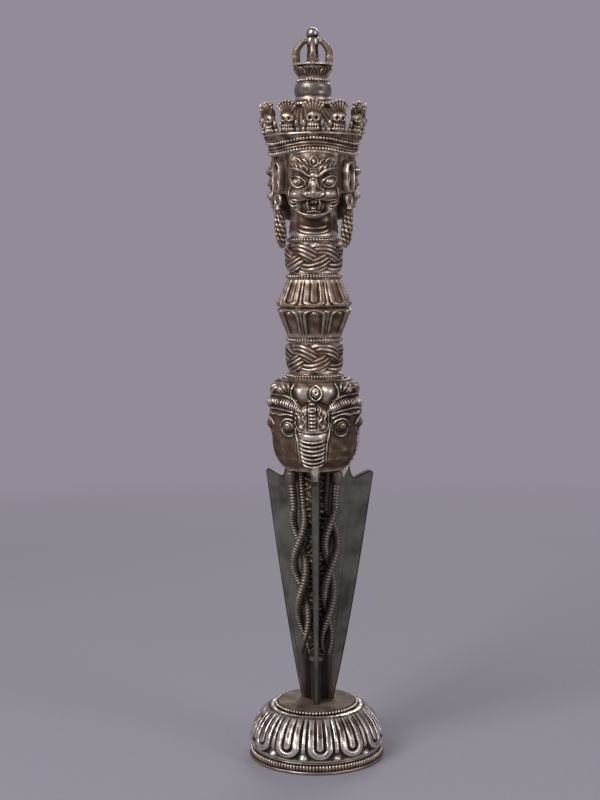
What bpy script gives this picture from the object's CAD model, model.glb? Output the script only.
import math
import bpy
import bmesh
import numpy as np
from mathutils import Matrix, Vector


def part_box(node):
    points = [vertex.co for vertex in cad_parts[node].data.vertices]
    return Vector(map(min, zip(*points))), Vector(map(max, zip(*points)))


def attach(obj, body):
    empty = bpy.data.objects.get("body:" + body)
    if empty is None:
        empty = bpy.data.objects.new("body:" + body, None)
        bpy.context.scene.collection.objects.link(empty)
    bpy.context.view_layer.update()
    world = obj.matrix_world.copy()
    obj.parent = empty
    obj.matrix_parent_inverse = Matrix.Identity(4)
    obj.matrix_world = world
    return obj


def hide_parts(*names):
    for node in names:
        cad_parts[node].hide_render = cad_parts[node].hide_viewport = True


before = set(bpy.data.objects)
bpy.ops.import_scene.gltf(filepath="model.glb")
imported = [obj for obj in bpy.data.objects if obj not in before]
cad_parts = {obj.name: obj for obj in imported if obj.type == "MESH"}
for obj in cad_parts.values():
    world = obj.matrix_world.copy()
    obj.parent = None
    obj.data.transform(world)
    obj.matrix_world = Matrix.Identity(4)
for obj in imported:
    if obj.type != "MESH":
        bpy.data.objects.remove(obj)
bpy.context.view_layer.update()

mm = 0.001
gap = 0.08     # solder between neighbouring pieces, in millimetres

# Everything is shaped in millimetres, Z up, the front wing along -Y, and scaled to metres at the end.
# Heights come from the frame: each section of the dagger sits where its node does.


def lowOf(node):
    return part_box(node)[0][2]/mm


def topOf(node):
    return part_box(node)[1][2]/mm


# small curves that the carving is made of
def mix(p, q, s):
    return p + (q - p)*s


def ease(x, lo, hi):
    s = np.clip((x - lo)/(hi - lo), 0, 1)
    return s*s*(3 - 2*s)


def swell(x, w):
    return np.where(np.abs(x) < w, (1 + np.cos(np.pi*x/w))/2, 0)


def fold(a, period):
    return a - period*np.round(a/period)


def polar(r, a, z):
    b = np.radians(a)
    return np.stack([r*np.sin(b), -r*np.cos(b), z + 0*r], -1)


def angleOf(co):
    return np.degrees(np.arctan2(co[:, 0], -co[:, 1]))


# 0 on the middle line of each of count equal forms, 1 at its border
def sideOf(a, count):
    pitch = 360/count
    return np.abs(fold(a, pitch))/(pitch/2)


# smooth line through a few points
def route(points, steps=5):
    p = np.array(points, float)
    p = np.vstack([2*p[0] - p[1], p, 2*p[-1] - p[-2]])
    path = []
    for i in range(1, len(p) - 2):
        for s in np.arange(steps)/steps:
            bend = 2*p[i] + (p[i + 1] - p[i - 1])*s
            bend += (2*p[i - 1] - 5*p[i] + 4*p[i + 1] - p[i + 2])*s*s
            bend += (3*p[i] - p[i - 1] - 3*p[i + 1] + p[i + 2])*s**3
            path.append(bend/2)
    return np.array(path + [p[-2]])


# distance from each point to a path, and how far along the path it is
def nearest(x, z, path):
    best = np.full(x.shape, 1e9)
    share = np.zeros(x.shape)
    for i in range(len(path) - 1):
        (px, pz), (dx, dz) = path[i], path[i + 1] - path[i]
        s = np.clip(((x - px)*dx + (z - pz)*dz)/(dx*dx + dz*dz + 1e-9), 0, 1)
        d = np.hypot(x - px - s*dx, z - pz - s*dz)
        closer = d < best
        best = np.where(closer, d, best)
        share = np.where(closer, (i + s)/(len(path) - 1), share)
    return best, share


# chased line: full width along its middle, drawn out to points at its ends
def stroke(x, z, points, width, lift, blunt=0.5):
    path = route(points)
    relief = np.zeros(x.shape)
    near = (x > path[:, 0].min() - width) & (x < path[:, 0].max() + width)
    near &= (z > path[:, 1].min() - width) & (z < path[:, 1].max() + width)
    d, share = nearest(x[near], z[near], path)
    taper = mix(blunt, 1, np.sin(np.pi*np.clip(share, 0, 1))**0.5)
    relief[near] = lift*swell(d/taper, width)*taper
    return relief


# relief of a carved field: domes add up, and of the chased lines the highest shows
def carve(x, z, domes=(), plates=(), rings=(), lines=(), cuts=()):
    total = np.zeros(x.shape)
    for cx, cz, w, h, lift in domes:
        total += lift*swell(np.hypot((x - cx)/w, (z - cz)/h), 1)
    for cx, cz, w, h, soft, lift in plates:
        far = (np.abs((x - cx)/w)**3 + np.abs((z - cz)/h)**3)**(1/3)
        total += lift*(1 - ease(far, 1 - soft, 1))
    over = np.zeros(x.shape)
    for cx, cz, w, h, width, lift in rings:
        far = np.hypot((x - cx)/w, (z - cz)/h)
        over = np.maximum(over, lift*swell((far - 1)*min(w, h), width))
    for points, width, lift in lines:
        over = np.maximum(over, stroke(x, z, points, width, lift))
    under = np.zeros(x.shape)
    for points, width, depth in cuts:
        under = np.maximum(under, stroke(x, z, points, width, depth))
    return total + over - under


# slight unevenness of hand work, a few hundredths of a millimetre
def handWobble(co, size=0.05):
    x, y, z = co[:, 0], co[:, 1], co[:, 2]
    return size*(np.sin(0.9*x + 1.3*z + 2) + np.sin(1.1*y - 0.8*z) + np.sin(0.5*z + 0.7*x - 0.6*y))


# Skin of revolution that is shaped row by row: place(angle, row) gives radius, height and angle.
# A closed skin runs back down its inside, and an open one ends in a pole at top and bottom.
def turned(columns, rows, place, closed=False):
    bm = bmesh.new()
    bands = rows if closed else rows + 1
    bmesh.ops.create_grid(bm, x_segments=columns, y_segments=bands, size=0.5)
    shape = bpy.data.meshes.new("turned")
    bm.to_mesh(shape)
    co = readPoints(shape)
    a = 360*np.rint((co[:, 0] + 0.5)*columns)/columns % 360
    v = np.rint((co[:, 1] + 0.5)*bands)
    pole = np.zeros(len(v), bool) if closed else (v == 0) | (v == bands)
    v = v % rows if closed else np.clip(v - 1, 0, rows - 1)
    r, z, a = place(np.where(pole, 0, a), v)
    writePoints(shape, polar(np.where(pole, 0, r), a, z))
    bm.clear()
    bm.from_mesh(shape)
    bmesh.ops.remove_doubles(bm, verts=bm.verts, dist=1e-4)
    bmesh.ops.recalc_face_normals(bm, faces=bm.faces)
    bm.to_mesh(shape)
    bm.clear()
    bm.from_mesh(shape)
    bpy.data.meshes.remove(shape)
    return bm


def readPoints(mesh):
    flat = np.empty(len(mesh.vertices)*3)
    mesh.vertices.foreach_get("co", flat)
    return flat.reshape(-1, 3)


def writePoints(mesh, co):
    mesh.vertices.foreach_set("co", np.ascontiguousarray(co, float).ravel())
    mesh.update()


def readNormals(mesh):
    flat = np.empty(len(mesh.vertices)*3)
    mesh.vertex_normals.foreach_get("vector", flat)
    return flat.reshape(-1, 3)


def meshOf(name, bm):
    mesh = bpy.data.meshes.new(name)
    bm.to_mesh(mesh)
    bm.free()
    return mesh


def putInScene(name, data):
    thing = bpy.data.objects.new(name, data)
    bpy.context.collection.objects.link(thing)
    return thing


def turnBy(bm, angle, axis="Z"):
    bmesh.ops.rotate(bm, verts=bm.verts, cent=(0, 0, 0), matrix=Matrix.Rotation(math.radians(angle), 3, axis))


# plain turned part from an outline of [radius, height] points
def lathe(outline, columns, closed=False):
    path = np.array(outline, float)

    def place(a, v):
        i = v.astype(int)
        return path[i, 0], path[i, 1], a
    return turned(columns, len(path), place, closed)


# an ellipsoid that leans sideways by some degrees
def lump(bm, place, size, lean=0.0, grid=(20, 14), radius=1):
    spot = (Matrix.Translation(place) @ Matrix.Rotation(math.radians(lean), 4, "Y")
            @ Matrix.Diagonal((*size, 1)))
    bmesh.ops.create_uvsphere(bm, u_segments=grid[0], v_segments=grid[1], radius=radius, matrix=spot)


# overlapping lumps become one skin by a fine remesh
def fuse(name, bm, voxel=0.2):
    body = putInScene(name, meshOf(name, bm))
    remesh = body.modifiers.new("fuse", "REMESH")
    remesh.mode, remesh.voxel_size = "VOXEL", voxel
    fused = bpy.data.meshes.new_from_object(body.evaluated_get(bpy.context.evaluated_depsgraph_get()))
    bpy.data.objects.remove(body)
    return fused


# small beads, each a low ball of a few dozen faces so that rows of a hundred stay light
def beads(bm, places, radius, tall=1.0):
    ball = bmesh.new()
    bmesh.ops.create_uvsphere(ball, u_segments=8, v_segments=6, radius=radius,
                              matrix=Matrix.Diagonal((1, 1, tall, 1)))
    shape = bpy.data.meshes.new("beads")
    ball.to_mesh(shape)
    ball.clear()
    for _ in places:
        ball.from_mesh(shape)
    ball.to_mesh(shape)
    ball.free()
    co = readPoints(shape).reshape(len(places), -1, 3) + np.asarray(places, float)[:, None]
    writePoints(shape, co.reshape(-1, 3))
    bm.from_mesh(shape)
    bpy.data.meshes.remove(shape)


def beadRow(bm, count, r, z, radius, tall=1.0):
    a = 360*np.arange(count)/count
    beads(bm, polar(np.full(count, float(r)), a, z), radius, tall)


# Wear: how far each point stands out of its smoothed surroundings, 0 in a recess and 1 on a crest.
# The finishes read it, because patina stays in the recesses and handling polishes the crests.
def addWear(mesh, rub=0, passes=(8, 50), gain=(1.9, 0.75)):
    co, normals = readPoints(mesh)/mm, readNormals(mesh)
    count = len(co)
    ends = np.empty(len(mesh.edges)*2, np.int32)
    mesh.edges.foreach_get("vertices", ends)
    i, j = ends[0::2], ends[1::2]
    degree = np.maximum(np.bincount(ends, minlength=count), 1)[:, None]
    smooth, wear = co.copy(), np.full(count, 0.5)
    for turn in range(1, max(passes) + 1):
        total = np.stack([np.bincount(i, smooth[j, k], count) + np.bincount(j, smooth[i, k], count)
                          for k in range(3)], 1)
        smooth = (smooth + total/degree)/2
        if turn in passes:
            out = ((co - smooth)*normals).sum(1)
            wear += gain[passes.index(turn)]*np.clip(out, -0.4, 0.4)
    wear += rub(co) if callable(rub) else rub
    layer = mesh.attributes.new("wear", "FLOAT", "POINT")
    layer.data.foreach_set("value", np.clip(wear, 0, 1).astype(np.float32))


# turns a finished shape into a piece, which takes the place of the node of its name unless nodes are given
def finish(name, bm, look, nodes=None, body="phurba", sharp=None, worn=True,
           wobble=0.05, rub=0):
    mesh = meshOf(name, bm)
    co = readPoints(mesh)
    mesh.update()
    if wobble:
        co = co + readNormals(mesh)*handWobble(co, wobble)[:, None]
    writePoints(mesh, co*mm)
    mesh.shade_smooth()
    if sharp:
        mesh.set_sharp_from_angle(angle=math.radians(sharp))
    if worn:
        addWear(mesh, rub)
    mesh.materials.append(finishes[look])
    piece = putInScene(name, mesh)
    nodes = [name] if nodes is None else nodes
    if nodes:
        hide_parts(*nodes)
    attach(piece, body)
    return piece


# Finishes
def linear(hexColour):
    parts = [int(hexColour[i:i + 2], 16)/255 for i in (1, 3, 5)]
    return tuple(p/12.92 if p <= 0.04045 else ((p + 0.055)/1.055)**2.4 for p in parts) + (1,)


# One node with its settings and inputs: a socket is linked, anything else is set, stops fill a ramp.
# Inputs in a row go to the node's first sockets. The output that out names comes back.
def add(tree, kind, inputs=(), stops=(), out=0, **settings):
    node = tree.nodes.new("ShaderNode" + kind)
    for key, value in settings.items():
        setattr(node, key, value)
    for key, value in inputs.items() if isinstance(inputs, dict) else enumerate(inputs):
        if isinstance(value, bpy.types.NodeSocket):
            tree.links.new(value, node.inputs[key])
        else:
            node.inputs[key].default_value = value
    if stops:
        elements = node.color_ramp.elements
        for element, (place, colour) in zip(elements, (stops[0], stops[-1])):
            element.position, element.color = place, linear(colour)
        for place, colour in stops[1:-1]:
            elements.new(place).color = linear(colour)
    return node.outputs[out] if node.outputs else node


def startMaterial(name):
    material = bpy.data.materials.new(name)
    material.use_nodes = True
    material.node_tree.nodes.clear()
    return material, material.node_tree


# noise whose grain is given in millimetres
def grain(tree, sizeMm, detail=3.0, stretch=(1, 1, 1)):
    place = add(tree, "TexCoord", out="Object")
    place = add(tree, "Mapping", {"Vector": place, "Scale": stretch})
    return add(tree, "TexNoise", {"Vector": place, "Scale": 1/(sizeMm*mm), "Detail": detail,
                                  "Roughness": 0.6}, out="Fac")


# The inputs of a Map Range are value, from min, from max, to min, to max;
# those of a colour Mix are 0 the share, 6 and 7 the two colours.

# Cast iron, chased and antiqued: dark brown oxide left in the recesses, brown-grey metal on the
# fields, crests rubbed brighter by handling; copper-toned stain and soot lie in sheltered patches.
castIron = {
    "recess": "#0d0805", "low": "#2e2016", "field": "#5f4f3f", "crest": "#bfb0a0",
    "stain": "#75432c", "stainShare": 0.5, "soot": "#2a221c", "sootShare": 0.4,
    "stops": (0.16, 0.34, 0.52, 0.9), "roughRecess": 0.78, "roughCrest": 0.33,
    "metalRecess": 0.3, "metalCrest": 0.95, "pitMm": 0.4, "patchMm": 6.0, "bumpMm": 0.07,
}


def antiquedMetal(name, changes=None):
    look = {**castIron, **(changes or {})}
    material, tree = startMaterial(name)
    wear = add(tree, "Attribute", out="Fac", attribute_name="wear")
    patches = grain(tree, look["patchMm"])
    pits = grain(tree, look["pitMm"], 2.0)
    # patches and pits shift how far the metal is rubbed, so that no crest is evenly bright
    shift = add(tree, "MapRange", (patches, 0.3, 0.7, -0.14, 0.14))
    speck = add(tree, "MapRange", (pits, 0.3, 0.7, -0.09, 0.09))
    shift = add(tree, "Math", (shift, speck), operation="ADD")
    level = add(tree, "Math", (wear, shift), operation="ADD", use_clamp=True)
    tones = [look[key] for key in ("recess", "low", "field", "crest")]
    colour = add(tree, "ValToRGB", (level,), list(zip(look["stops"], tones)))
    sheltered = add(tree, "MapRange", (level, 0.4, 0.75, 1.0, 0.0))
    for tone, most, times in (("stain", look["stainShare"], 2.3), ("soot", look["sootShare"], 1.4)):
        patch = grain(tree, look["patchMm"]*times)
        patch = add(tree, "MapRange", (patch, 0.46, 0.64, 0.0, most))
        patch = add(tree, "Math", (patch, sheltered), operation="MULTIPLY")
        colour = add(tree, "Mix", {0: patch, 6: colour, 7: linear(look[tone])}, out=2, data_type="RGBA")
    rough = add(tree, "MapRange", (level, 0.25, 0.9, look["roughRecess"], look["roughCrest"]))
    metal = add(tree, "MapRange", (level, 0.2, 0.7, look["metalRecess"], look["metalCrest"]))
    bump = add(tree, "Bump", {"Height": pits, "Distance": look["bumpMm"]*mm, "Strength": 1.0})
    shader = add(tree, "BsdfPrincipled", {"Base Color": colour, "Metallic": metal, "Roughness": rough,
                                          "Normal": bump})
    add(tree, "OutputMaterial", {"Surface": shader})
    return material


# Forged steel of the wings, ground along their length: dull grey with fine scratches and blotches,
# a dark line along its edges, brown stain low down and black grit beside the core.
forgedSteel = {
    "steel": "#6c6961", "dark": "#4d4a44", "pale": "#7b7870", "grit": "#1b1510", "stain": "#6a4129",
    "edge": "#221d19", "scratchMm": 0.25, "scratchStretch": (1, 1, 0.03), "blotchMm": 14.0, "mottleMm": 1.6,
    "rough": (0.42, 0.58), "stainTopMm": 62, "stainReachMm": 10, "gritReachMm": 7.5,
    "scratchDeepMm": 0.02, "gritDeepMm": 0.25,
}


def groundSteel():
    look = forgedSteel
    material, tree = startMaterial("forgedGroundSteel")
    scratches = grain(tree, look["scratchMm"], 2.0, look["scratchStretch"])
    blotches = grain(tree, look["blotchMm"], 4.0)
    mottle = grain(tree, look["mottleMm"], 4.0)
    colour = add(tree, "ValToRGB", (blotches,), [(0.36, look["dark"]), (0.52, look["steel"]),
                                                 (0.68, look["pale"])])
    fine = add(tree, "MapRange", (scratches, 0.3, 0.7, 0.84, 1.12))
    fine = add(tree, "CombineColor", (fine, fine, fine))
    colour = add(tree, "Mix", {0: 1.0, 6: colour, 7: fine}, out=2, data_type="RGBA", blend_type="MULTIPLY")
    # distance from the core, and height, both in metres
    spot = add(tree, "TexCoord", out="Object")
    x, y, z = add(tree, "SeparateXYZ", (spot,)).node.outputs
    flat = add(tree, "CombineXYZ", (x, y))
    reach = add(tree, "VectorMath", (flat,), out="Value", operation="LENGTH")
    nearCore = add(tree, "MapRange", (reach, 3*mm, look["stainReachMm"]*mm, 1.0, 0.0))
    lowDown = add(tree, "MapRange", (z, 30*mm, look["stainTopMm"]*mm, 1.0, 0.0))
    patch = add(tree, "MapRange", (grain(tree, 3.0, 3.0, (1, 1, 0.3)), 0.35, 0.6, 0.2, 1.0))
    stain = add(tree, "Math", (nearCore, lowDown), operation="MULTIPLY")
    stain = add(tree, "Math", (stain, patch), operation="MULTIPLY")
    grit = add(tree, "MapRange", (reach, 4.5*mm, look["gritReachMm"]*mm, 0.95, 0.0))
    wear = add(tree, "Attribute", out="Fac", attribute_name="wear")
    rim = add(tree, "MapRange", (wear, 0.25, 0.75, 0.8, 0.0))
    speckle = add(tree, "MapRange", (mottle, 0.5, 0.75, 0.0, 0.4))
    for amount, tone in ((speckle, "dark"), (stain, "stain"), (grit, "grit"), (rim, "edge")):
        colour = add(tree, "Mix", {0: amount, 6: colour, 7: linear(look[tone])}, out=2, data_type="RGBA")
    rough = add(tree, "MapRange", (blotches, 0.3, 0.7, *look["rough"]))
    bump = add(tree, "Bump", {"Height": scratches, "Distance": look["scratchDeepMm"]*mm, "Strength": 0.6})
    lumps = add(tree, "Bump", {"Height": mottle, "Distance": look["gritDeepMm"]*mm, "Strength": grit,
                               "Normal": bump})
    shader = add(tree, "BsdfPrincipled", {"Base Color": colour, "Metallic": 0.75, "Roughness": rough,
                                          "Normal": lumps})
    add(tree, "OutputMaterial", {"Surface": shader})
    return material


# Cast iron left as it came from the sand: dull brown-grey, granular, hardly any shine.
sandCast = {"gritMm": 0.5, "patchMm": 7.0, "bumpMm": 0.12}


def sandCastIron(name, light, dark):
    material, tree = startMaterial(name)
    grit = grain(tree, sandCast["gritMm"])
    patches = grain(tree, sandCast["patchMm"])
    colour = add(tree, "ValToRGB", (patches,), [(0.35, dark), (0.65, light)])
    pit = add(tree, "MapRange", (grit, 0.45, 0.75, 0.0, 0.5))
    colour = add(tree, "Mix", {0: pit, 6: colour, 7: linear(dark)}, out=2, data_type="RGBA")
    bump = add(tree, "Bump", {"Height": grit, "Distance": sandCast["bumpMm"]*mm, "Strength": 1.0})
    rough = add(tree, "MapRange", (grit, 0.3, 0.7, 0.5, 0.72))
    shader = add(tree, "BsdfPrincipled", {"Base Color": colour, "Metallic": 0.55, "Roughness": rough,
                                          "Normal": bump})
    add(tree, "OutputMaterial", {"Surface": shader})
    return material


finishes = {
    "handle": antiquedMetal("antiquedCastIron"),
    "faces": antiquedMetal("chasedFaceIron", {"field": "#6b5a4a", "crest": "#c9bbac", "low": "#422f22",
                                              "recess": "#1c120b", "stops": (0.1, 0.27, 0.48, 0.88),
                                              "stainShare": 0.24, "roughCrest": 0.36}),
    "lotus": antiquedMetal("rubbedLotusIron", {"field": "#66513f", "low": "#3a291d", "crest": "#b5a595",
                                               "stops": (0.14, 0.3, 0.5, 0.9), "roughCrest": 0.4}),
    "knots": antiquedMetal("plaitedIron", {"low": "#22160f", "stops": (0.2, 0.37, 0.54, 0.87)}),
    "makara": antiquedMetal("castMakaraIron", {"field": "#6f5a47", "low": "#3f2d20", "crest": "#e0d5c8",
                                               "patchMm": 8.0, "stops": (0.14, 0.31, 0.55, 0.93),
                                               "roughCrest": 0.4, "stainShare": 0.24}),
    "stand": antiquedMetal("rubbedStandIron", {"crest": "#dad3ca", "field": "#50463c", "low": "#2f261e",
                                               "stops": (0.2, 0.36, 0.56, 0.86), "roughCrest": 0.27,
                                               "stainShare": 0.32}),
    "rings": antiquedMetal("brownBeadIron", {"crest": "#a3948a", "field": "#554539", "patchMm": 4.0}),
    "snakes": antiquedMetal("castSnakeIron", {"recess": "#0a0705", "low": "#17120d", "field": "#332b24",
                                              "crest": "#7a7268", "stainShare": 0.2, "roughCrest": 0.42}),
    "bright": antiquedMetal("handledIron", {"field": "#4c443c", "crest": "#aaa299", "sootShare": 0.3,
                                            "roughCrest": 0.2}),
    "wing": groundSteel(),
    "crust": antiquedMetal("castingCrust", {"recess": "#070504", "low": "#130f0b", "field": "#261f18",
                                            "crest": "#7c705e", "roughCrest": 0.4, "metalCrest": 0.8}),
    "plate": sandCastIron("sandCastPlateIron", "#7a6c5d", "#4c4034"),
    "core": sandCastIron("dullCoreIron", "#3a322b", "#1c1713"),
}
print("finishes ready")


# Stand: foot, beaded wires, petalled dome, plate
stand = {
    "footR": 28.2, "footH": 4.6, "flangeH": 1.6, "wireR": 0.75, "footBeads": 128, "topBeads": 76,
    "plateR": 16.1, "wall": 2.8, "petals": 12, "turn": 3, "relief": 1.5, "crestR": 28.3, "edgeR": 17.9,
    "petalEnd": 0.36, "petalSpan": 0.35, "columns": 600, "rows": 84, "innerRows": 8,
    "footBeadZ": 2.55, "footBeadR": 0.62, "footBeadTall": 2.0, "topBeadR": 0.6,
}
domeTop = lowOf("stand_plate")


def domeRadius(a, t):
    s = stand
    side = sideOf(a - s["turn"], s["petals"])
    low = t < s["petalEnd"]
    f = np.where(low, np.hypot(side, (s["petalEnd"] - t)/s["petalSpan"]), side)
    rim = ease(f, 0.29, 0.4)*(1 - ease(f, 0.69, 0.82))*(1 - 0.12*((f - 0.54)/0.2)**2)
    tongue = 0.88*(1 - ease(f, 0.15, 0.27))
    between = 0.72*ease(side, 0.84, 0.93)*ease(t, 0.16, 0.34)
    bud = 0.95*swell(np.hypot((side - 1)/0.4, (t - 0.09)/0.15), 1)
    top = np.maximum.reduce([rim, tongue, between, bud])
    # the bed between the forms drops below them and closes up towards the plate
    deep = s["relief"]*(1 - top)*(1 - 0.85*ease(t, 0.82, 1))
    crest = mix(s["edgeR"], s["crestR"], (1 - t*t)**0.6)
    return crest - deep - 1.1*(t < 0.012)


def makeStand():
    s = stand
    inR = s["footR"] - 1 - s["wall"]
    seat = s["footR"] - 2*s["wireR"]
    bm = lathe([(inR, 0), (s["footR"] - 0.9, 0), (s["footR"] - 0.25, 0.12), (s["footR"], 0.4),
                (s["footR"], s["flangeH"] - 0.45), (s["footR"] - 0.3, s["flangeH"] - 0.25),
                (seat, s["flangeH"] - 0.25), (seat - 0.2, 3.4), (seat - 0.2, 3.9), (seat + 0.1, 4.0),
                (seat + 0.3, 4.25), (seat + 0.1, 4.5), (seat - 0.2, s["footH"]), (inR, s["footH"])], 192, True)
    finish("standFoot", bm, "rings", ["stand_foot"], "stand", rub=-0.3)

    bm = bmesh.new()
    beadRow(bm, s["footBeads"], seat + s["wireR"] - 0.1, s["footBeadZ"], s["footBeadR"], s["footBeadTall"])
    finish("standFootBeads", bm, "handle", ["stand_foot_ring"], "stand", wobble=0.03)

    bm = bmesh.new()
    beadRow(bm, s["topBeads"], s["plateR"] + s["wireR"] + gap, domeTop + s["topBeadR"], s["topBeadR"])
    finish("standTopBeads", bm, "handle", ["stand_top_ring"], "stand", wobble=0.03)

    # the rows past the relief come down inside the wall
    def place(a, v):
        t = np.clip(v/(s["rows"] - 1), 0, 1)
        back = (v - s["rows"] + 1)/s["innerRows"]
        t = np.where(back > 0, 1 - back, t)
        wallR = mix(inR, s["edgeR"] - s["wall"], t*t)
        return np.where(back > 0, wallR, domeRadius(a, t)), s["footH"] + t*(domeTop - s["footH"]), a

    # the metal stays brown where the relief closes up, and dark in the corner beside the beads
    def rub(co):
        t = (co[:, 2] - s["footH"])/(domeTop - s["footH"])
        return 0.03 - 0.17*ease(t, 0.35, 0.78) + 0.1*ease(t, 0.78, 0.9) - 0.5*ease(t, 0.93, 0.98)

    bm = turned(s["columns"], s["rows"] + s["innerRows"], place, True)
    finish("standDome", bm, "stand", ["stand_dome"], "stand", rub=rub)


# Blade: three wings on a round core
blade = {
    "tipZ": 3.5, "length": 118, "wingR": 25.5, "angles": (0, 109, 232), "belly": 0.69, "drop": 2.1,
    "hollow": 2.3, "topT": 3.5, "tipT": 1.4, "coreR": 2.4, "round": 1.8, "jawR": 14.72,
    "edgeBevel": 0.55, "margin": 0.38, "marginDepth": 0.05,
}
bladeTop = blade["tipZ"] + blade["length"]


def edgeR(z):
    b = blade
    return b["wingR"]*(max(0, z - b["tipZ"])/(b["length"] - b["drop"]))**b["belly"]


def wingT(z):
    return mix(blade["tipT"], blade["topT"], (z - blade["tipZ"])/blade["length"])


def makeWing(name, angle):
    b = blade
    inR = b["coreR"] + gap
    footZ = b["tipZ"] + (b["length"] - b["drop"])*((b["coreR"] + 0.9)/b["wingR"])**(1/b["belly"])
    shoulderZ = bladeTop - b["drop"]
    valleyR = mix(b["jawR"], b["wingR"], 0.25)
    edge = [(edgeR(z), z) for z in np.linspace(footZ, shoulderZ - b["round"], 22)]
    edge += [(b["wingR"] - b["round"]*(1 - math.cos(t)), shoulderZ - b["round"]*(1 - math.sin(t)))
             for t in np.radians((22, 45, 68, 90))]
    hollow = route([(b["wingR"] - b["round"] - 2.5, shoulderZ - 0.9), (valleyR, shoulderZ - b["hollow"]),
                    (mix(b["jawR"], valleyR, 0.4), shoulderZ - 0.75*b["hollow"]),
                    (b["jawR"], bladeTop - gap)], 3)
    outline = [(inR, footZ)] + edge + [tuple(p) for p in hollow] + [(inR, bladeTop - gap)]
    bm = bmesh.new()
    side = bm.faces.new([bm.verts.new((0, -r, z)) for r, z in outline])
    grown = bmesh.ops.extrude_face_region(bm, geom=[side])["geom"]
    for v in bm.verts:
        v.co.x = -wingT(v.co.z)/2
    for v in (g for g in grown if isinstance(g, bmesh.types.BMVert)):
        v.co.x = wingT(v.co.z)/2
    bmesh.ops.recalc_face_normals(bm, faces=bm.faces)
    # the outer edges are ground to a narrow bevel
    rim = [e for e in bm.edges if all(-v.co.y > inR + 0.5 for v in e.verts)
           and abs(e.verts[0].co.x - e.verts[1].co.x) < 0.3]
    bmesh.ops.bevel(bm, geom=rim, offset=b["edgeBevel"], offset_type="OFFSET", segments=2, profile=0.5,
                    affect="EDGES", material=-1, clamp_overlap=True)
    # a slightly sunk margin inside the edges of both sides, and of the ground edge between them
    bm.normal_update()
    for flat in (1, 0):
        panels = [f for f in bm.faces if (abs(f.normal.x) > 0.9 and len(f.verts) > 12 if flat else
                                          abs(f.normal.x) < 0.2 and f.calc_area() > 1.5)]
        bmesh.ops.inset_region(bm, faces=panels, thickness=b["margin"], depth=-b["marginDepth"],
                               use_even_offset=True)
    turnBy(bm, angle)
    piece = finish("wing_" + name, bm, "wing", sharp=25, worn=False, wobble=0)
    # the finish darkens the edges, so the broad sides count as worn and their borders don't
    broad = np.zeros(len(piece.data.vertices), np.float32)
    turn = Matrix.Rotation(math.radians(-angle), 3, "Z")
    for face in piece.data.polygons:
        if len(face.vertices) > 12 or (abs((turn @ face.normal).x) < 0.2 and face.area > 1.2*mm*mm):
            broad[list(face.vertices)] = 1
    piece.data.attributes.new("wear", "FLOAT", "POINT").data.foreach_set("value", broad)


# Nagas: ribbed bodies that twist down each channel from a smooth swollen neck
naga = {
    "r": 1.85, "neckR": 2.45, "tailZ": 43, "twistTop": 105, "pitch": 20, "outTop": 8.9, "outMid": 7.7,
    "outTail": 4.8, "depth": 2.2, "swing": 3.5, "headR": 1.5, "ribMm": 1.25, "ribLift": 0.46,
    "rows": 560, "sides": 22,
}


def nagaOut(z):
    n = naga
    return np.where(z > n["twistTop"], mix(n["outMid"], n["outTop"], ease(z, n["twistTop"], bladeTop)),
                    mix(n["outTail"], n["outMid"],
                        np.minimum(1, (z - n["tailZ"])/(0.75*(n["twistTop"] - n["tailZ"])))))


def nagaPath(t, outer, half):
    n = naga
    z = mix(bladeTop - gap, n["tailZ"], t)
    out = nagaOut(z)
    r = n["r"]*mix(1, 0.45, ease(t, 0.72, 1))
    r = r + (n["neckR"] - n["r"])*(1 - ease(t, 0.055, 0.08))*(1 if outer else 0)
    r = np.minimum(r, (out - blade["coreR"] - 0.12)/2)
    depth = np.minimum(n["depth"], out - blade["coreR"] - r - gap)
    wall = out*math.sin(half) - wingT(z)/2 - r - gap
    swing = np.minimum(n["swing"], np.sqrt(np.maximum(0, wall**2 - (depth*math.sin(half))**2))/math.cos(half))
    phase = np.radians((90 if outer else -90) + 180*np.maximum(0, n["twistTop"] - z)/n["pitch"])
    return np.stack([swing*np.cos(phase), -out - depth*np.sin(phase), z], -1), r


def makeNaga(name, angle, half, outer):
    n = naga
    t = np.linspace(0, 1, n["rows"])
    path, r = nagaPath(t, outer, half)
    along = np.gradient(path, axis=0)
    length = np.cumsum(np.linalg.norm(along, axis=1))
    along /= np.linalg.norm(along, axis=1)[:, None]
    across = np.cross([0, 1, 0], along)
    across /= np.linalg.norm(across, axis=1)[:, None]
    other = np.cross(along, across)
    ribbed = (ease(t, 0.075, 0.085) if outer else 1)*(1 - 0.5*ease(t, 0.8, 1))
    rib = n["ribLift"]*ribbed*(np.abs(np.sin(np.pi*length/n["ribMm"]))**0.7 - 0.85)
    closing = np.sqrt(np.clip(np.minimum(length - length[0], length[-1] - length)/1.2, 0, 1))

    def place(a, v):
        i = v.astype(int)
        b = np.radians(a)
        size = ((r[i] + rib[i])*closing[i])[:, None]
        spot = path[i] + size*(np.cos(b)[:, None]*across[i] + np.sin(b)[:, None]*other[i])
        return np.hypot(spot[:, 0], spot[:, 1]), spot[:, 2], angleOf(spot)

    bm = turned(n["sides"], n["rows"], place)
    # the poles of the skin go to the ends of the path
    bm.verts.ensure_lookup_table()
    for v in bm.verts:
        if len(v.link_edges) == n["sides"]:
            end = path[0] if v.co.z > path[:, 2].mean() else path[-1]
            v.co = Vector(end)
    bmesh.ops.recalc_face_normals(bm, faces=bm.faces)
    turnBy(bm, angle)
    finish(name, bm, "snakes", wobble=0.02)


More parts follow.
